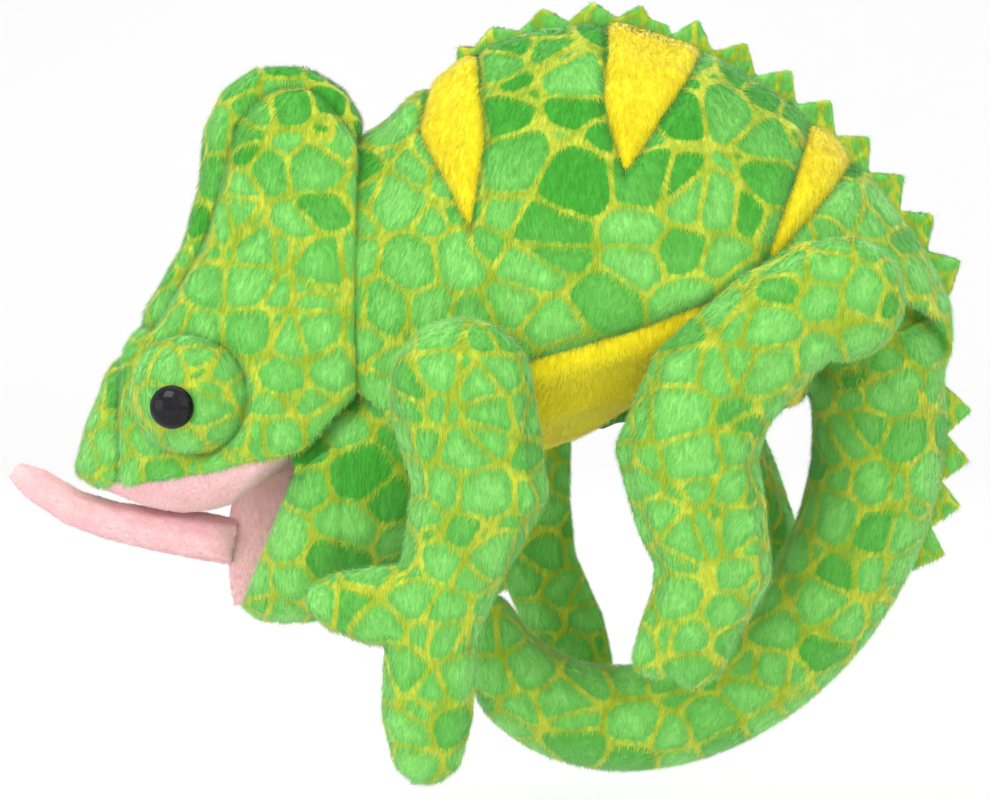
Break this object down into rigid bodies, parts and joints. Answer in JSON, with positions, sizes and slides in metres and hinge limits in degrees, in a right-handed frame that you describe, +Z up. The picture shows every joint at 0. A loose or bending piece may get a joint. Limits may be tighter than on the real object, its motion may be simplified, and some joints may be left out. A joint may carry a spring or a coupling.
{
  "type": "moving mouth puppet",
  "caption": "Plush chameleon hand puppet with an openable mouth, long tongue, tall head casque, spiked back, four dangling legs and a curled tail.",
  "frame": {"origin": "centre of the hand opening in the underside of the belly", "axes": "+X towards the tail, so the head points to -X; +Y to the animal's right; +Z up through the back"},
  "size_m": [0.3204, 0.1366, 0.2587],
  "materials": {
    "green_plush": "short dense pile printed with green reptile scales on yellow lines",
    "yellow_plush": "short dense plain yellow pile",
    "pink_plush": "very short soft pink pile",
    "polyester_stuffing": "loose white polyester fibre",
    "lining_fabric": "smooth knitted green lining",
    "mouth_plate": "flexible sheet stiffener",
    "eye_plastic": "polished black",
    "washer_plastic": "natural moulded"
  },
  "bodies": {
    "torso": {"body_panel_left": "green_plush", "body_panel_right": "green_plush", "yellow_insert_left_1": "yellow_plush", "yellow_insert_left_2": "yellow_plush", "yellow_insert_left_3": "yellow_plush", "yellow_insert_right_1": "yellow_plush", "yellow_insert_right_2": "yellow_plush", "yellow_insert_right_3": "yellow_plush", "belly_panel": "yellow_plush", "opening_hem": "lining_fabric", "dorsal_crest": "green_plush", "glove_lining": "lining_fabric", "body_padding_left": "polyester_stuffing", "body_padding_right": "polyester_stuffing", "neck_sleeve": "green_plush"},
    "head": {"head_panel_left": "green_plush", "head_panel_right": "green_plush", "casque_gusset": "green_plush", "snout_cap": "green_plush", "head_stuffing": "polyester_stuffing", "eye_patch_left": "green_plush", "eye_patch_right": "green_plush", "safety_eye_left": "eye_plastic", "safety_eye_right": "eye_plastic", "eye_washer_left": "washer_plastic", "eye_washer_right": "washer_plastic", "finger_pocket": "lining_fabric", "palate_lining": "pink_plush", "upper_mouth_plate": "mouth_plate"},
    "lower_jaw": {"jaw_skin": "green_plush", "jaw_lining": "pink_plush", "lower_mouth_plate": "mouth_plate", "thumb_pocket": "lining_fabric"},
    "tongue": {"tongue_skin": "pink_plush", "tongue_stuffing": "polyester_stuffing"},
    "front_leg_left": {"front_leg_skin_left": "green_plush", "front_leg_stuffing_left": "polyester_stuffing"},
    "front_leg_right": {"front_leg_skin_right": "green_plush", "front_leg_stuffing_right": "polyester_stuffing"},
    "hind_leg_left": {"hind_leg_skin_left": "green_plush", "hind_leg_stuffing_left": "polyester_stuffing"},
    "hind_leg_right": {"hind_leg_skin_right": "green_plush", "hind_leg_stuffing_right": "polyester_stuffing"},
    "tail_base": {"tail_skin_base": "green_plush", "tail_stuffing_base": "polyester_stuffing", "tail_crest": "green_plush"},
    "tail_middle": {"tail_skin_middle": "green_plush", "tail_stuffing_middle": "polyester_stuffing"},
    "tail_tip": {"tail_skin_tip": "green_plush", "tail_stuffing_tip": "polyester_stuffing"}
  },
  "joints": [
    {"name": "neck_nod", "type": "hinge", "parent": "torso", "child": "head", "pos_m": [-0.108, 0, 0.02], "axis": [0, 1, 0], "range_deg": [-12, 12], "stiffness_Nm_per_rad": 2, "deforming": ["neck_sleeve"]},
    {"name": "jaw_close", "type": "hinge", "parent": "head", "child": "lower_jaw", "pos_m": [-0.128, 0, -0.011], "axis": [0, 1, 0], "range_deg": [-4, 27], "stiffness_Nm_per_rad": 0.5},
    {"name": "tongue_bend", "type": "hinge", "parent": "lower_jaw", "child": "tongue", "pos_m": [-0.153, 0, -0.046], "axis": [0, 1, 0], "range_deg": [-54, 8], "stiffness_Nm_per_rad": 0.05},
    {"name": "front_leg_swing_left", "type": "hinge", "parent": "torso", "child": "front_leg_left", "pos_m": [-0.076, -0.052, 0.012], "axis": [0, 1, 0], "range_deg": [-12, 18], "stiffness_Nm_per_rad": 0.6},
    {"name": "front_leg_swing_right", "type": "hinge", "parent": "torso", "child": "front_leg_right", "pos_m": [-0.076, 0.052, 0.012], "axis": [0, 1, 0], "range_deg": [-8, 18], "stiffness_Nm_per_rad": 0.6},
    {"name": "hind_leg_swing_left", "type": "hinge", "parent": "torso", "child": "hind_leg_left", "pos_m": [0.042, -0.052, 0.04], "axis": [0, 1, 0], "range_deg": [-18, 12], "stiffness_Nm_per_rad": 0.6},
    {"name": "hind_leg_swing_right", "type": "hinge", "parent": "torso", "child": "hind_leg_right", "pos_m": [0.042, 0.052, 0.04], "axis": [0, 1, 0], "range_deg": [-18, 6], "stiffness_Nm_per_rad": 0.6},
    {"name": "tail_root_bend", "type": "hinge", "parent": "torso", "child": "tail_base", "pos_m": [0.06, 0, 0.014], "axis": [0, 1, 0], "range_deg": [-20, 4], "stiffness_Nm_per_rad": 2},
    {"name": "tail_middle_bend", "type": "hinge", "parent": "tail_base", "child": "tail_middle", "pos_m": [0.052, 0, -0.054], "axis": [0, 1, 0], "range_deg": [-25, 4], "stiffness_Nm_per_rad": 1},
    {"name": "tail_tip_bend", "type": "hinge", "parent": "tail_middle", "child": "tail_tip", "pos_m": [0.004, 0, -0.101], "axis": [0, 1, 0], "range_deg": [-25, 6], "stiffness_Nm_per_rad": 0.5}
  ],
  "couplings": [
    {"joint": "tongue_bend", "follows": "jaw_close", "ratio": -2}
  ]
}
